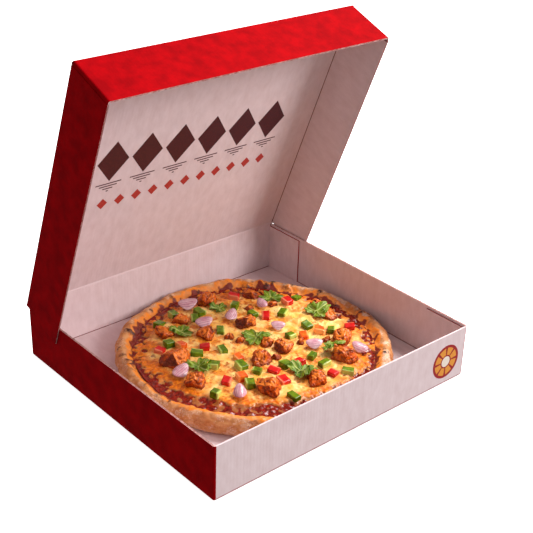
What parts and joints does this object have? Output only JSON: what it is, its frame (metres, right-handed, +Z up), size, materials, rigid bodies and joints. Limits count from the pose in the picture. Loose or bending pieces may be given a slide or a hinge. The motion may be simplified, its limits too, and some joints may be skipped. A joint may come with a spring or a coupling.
{
  "type": "pizza in its box",
  "caption": "Round chicken pizza with peppers, red onion and coriander in its open cardboard box, whose lid turns on the fold of the back wall.",
  "frame": {"origin": "middle of the underside of the box's tray", "axes": "+X to the right along the front wall, +Y from the front wall to the back wall with the lid, +Z up"},
  "size_m": [0.284, 0.2625, 0.295],
  "materials": {
    "board": "satin printed cardboard",
    "dough": "matte baked dough",
    "cheese": "satin melted cheese",
    "chicken": "satin roast chicken",
    "onion": "satin red onion",
    "leaf": "satin coriander leaf"
  },
  "bodies": {
    "tray": {"box_tray": "board", "pizza_crust": "dough", "pizza_cheese": "cheese", "chicken_01": "chicken", "chicken_02": "chicken", "chicken_03": "chicken", "chicken_04": "chicken", "chicken_05": "chicken", "chicken_06": "chicken", "chicken_07": "chicken", "chicken_08": "chicken", "chicken_09": "chicken", "chicken_10": "chicken", "chicken_11": "chicken", "chicken_12": "chicken", "chicken_13": "chicken", "chicken_14": "chicken", "chicken_15": "chicken", "chicken_16": "chicken", "chicken_17": "chicken", "onion_01": "onion", "onion_02": "onion", "onion_03": "onion", "onion_04": "onion", "onion_05": "onion", "onion_06": "onion", "onion_07": "onion", "onion_08": "onion", "onion_09": "onion", "coriander_01": "leaf", "coriander_02": "leaf", "coriander_03": "leaf", "coriander_04": "leaf", "coriander_05": "leaf", "coriander_06": "leaf", "coriander_07": "leaf", "coriander_08": "leaf"},
    "lid": {"box_lid": "board"}
  },
  "joints": [
    {"name": "lid_fold", "type": "hinge", "parent": "tray", "child": "lid", "pos_m": [0, 0.13025, 0.05], "axis": [-1, 0, 0], "range_deg": [-68.5, 111.5]}
  ]
}
